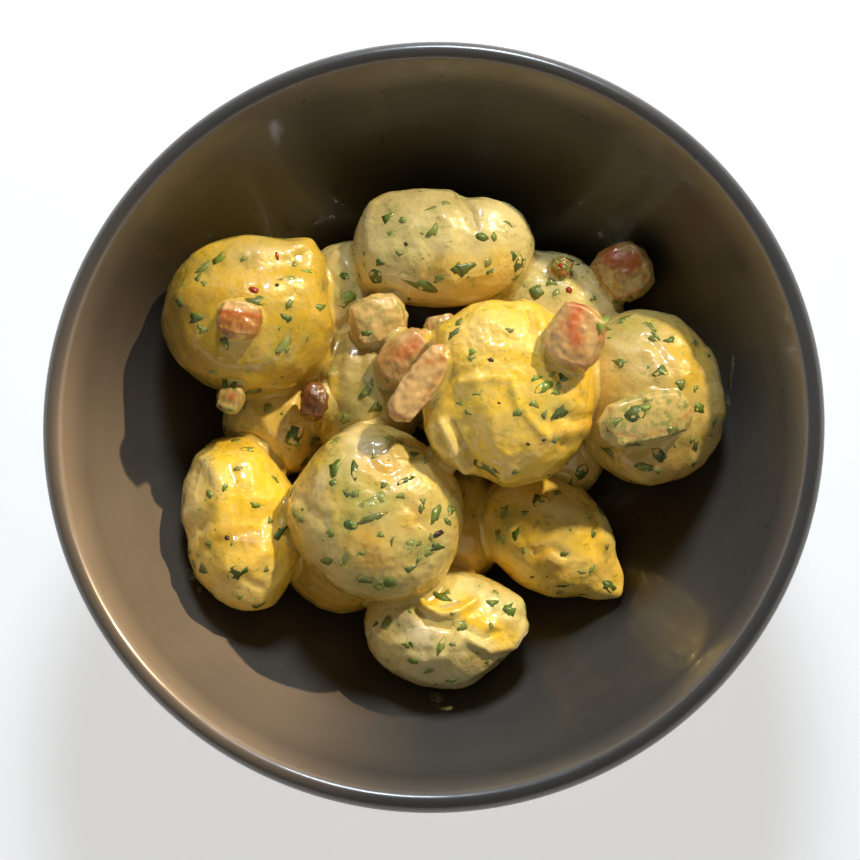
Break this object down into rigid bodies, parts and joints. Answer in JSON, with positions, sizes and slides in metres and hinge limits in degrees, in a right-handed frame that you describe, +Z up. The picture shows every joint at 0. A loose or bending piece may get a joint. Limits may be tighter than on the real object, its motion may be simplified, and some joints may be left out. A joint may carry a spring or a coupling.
{
  "type": "potato gnocchi in a bowl",
  "caption": "Large potato gnocchi in creamy herb sauce with bits of bacon, heaped in a wide stoneware bowl on a low foot ring.",
  "frame": {"origin": "centre of the bowl's foot ring, on the surface that the bowl stands on", "axes": "+Z up, +Y towards the side of the bowl that is at the top of the picture, +X to its right"},
  "size_m": [0.165, 0.165, 0.0622],
  "materials": {
    "glaze": "semi-gloss taupe grey glaze",
    "yellow_gnocchi": "wet egg-yellow cream sauce over potato dough",
    "pale_gnocchi": "wet pale cream sauce with herbs over potato dough",
    "bacon": "cooked bacon, browned at the edges"
  },
  "bodies": {
    "root": {"bowl": "glaze", "gnocco_crown": "yellow_gnocchi", "gnocco_left_top": "yellow_gnocchi", "gnocco_left": "yellow_gnocchi", "gnocco_front_right": "yellow_gnocchi", "gnocco_left_low": "yellow_gnocchi", "gnocco_low_middle": "yellow_gnocchi", "gnocco_low_front": "yellow_gnocchi", "gnocco_front": "pale_gnocchi", "gnocco_right": "pale_gnocchi", "gnocco_back_right": "pale_gnocchi", "gnocco_low_right": "pale_gnocchi", "gnocco_core": "pale_gnocchi", "gnocco_back_left": "pale_gnocchi", "gnocco_middle_left": "pale_gnocchi", "gnocco_front_left": "pale_gnocchi", "gnocco_back": "pale_gnocchi", "bacon_left_top": "bacon", "bacon_notch": "bacon", "bacon_chunk": "bacon", "bacon_strip": "bacon", "bacon_cube": "bacon", "bacon_slab": "bacon", "bacon_back": "bacon", "bacon_dark": "bacon", "bacon_left_edge": "bacon", "bacon_behind": "bacon", "bacon_speck": "bacon"}
  },
  "joints": []
}
